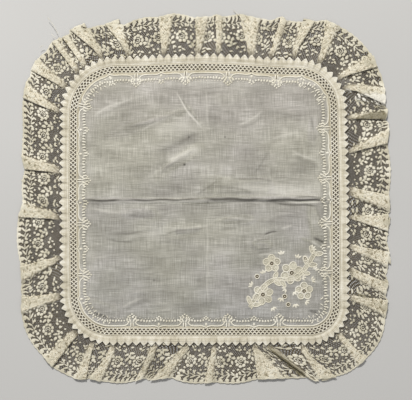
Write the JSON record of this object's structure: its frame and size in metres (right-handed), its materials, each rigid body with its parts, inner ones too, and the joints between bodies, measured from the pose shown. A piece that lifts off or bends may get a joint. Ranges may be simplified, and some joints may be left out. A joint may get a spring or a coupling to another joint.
{
  "type": "lace-edged handkerchief",
  "caption": "Square handkerchief of fine lawn with a drawn openwork band, a sawtooth-edged band and a gathered, pleated lace frill, lying flat.",
  "frame": {"origin": "centre of the bounding box, on the plane that the cloth lies on", "axes": "+Z out of the cloth's upper face, +Y towards the top edge as pictured, +X to its right"},
  "size_m": [0.319, 0.3156, 0.0038],
  "materials": {
    "lawn": "sheer plain-woven cotton lawn, matt",
    "openwork": "cream cotton, drawn and whipped holes",
    "band": "plain cream cotton, matt",
    "lace": "cream cotton lace, matt"
  },
  "bodies": {
    "root": {"lawn_centre": "lawn", "openwork_band": "openwork", "vandyke_band": "band", "lace_frill": "lace"}
  },
  "joints": []
}
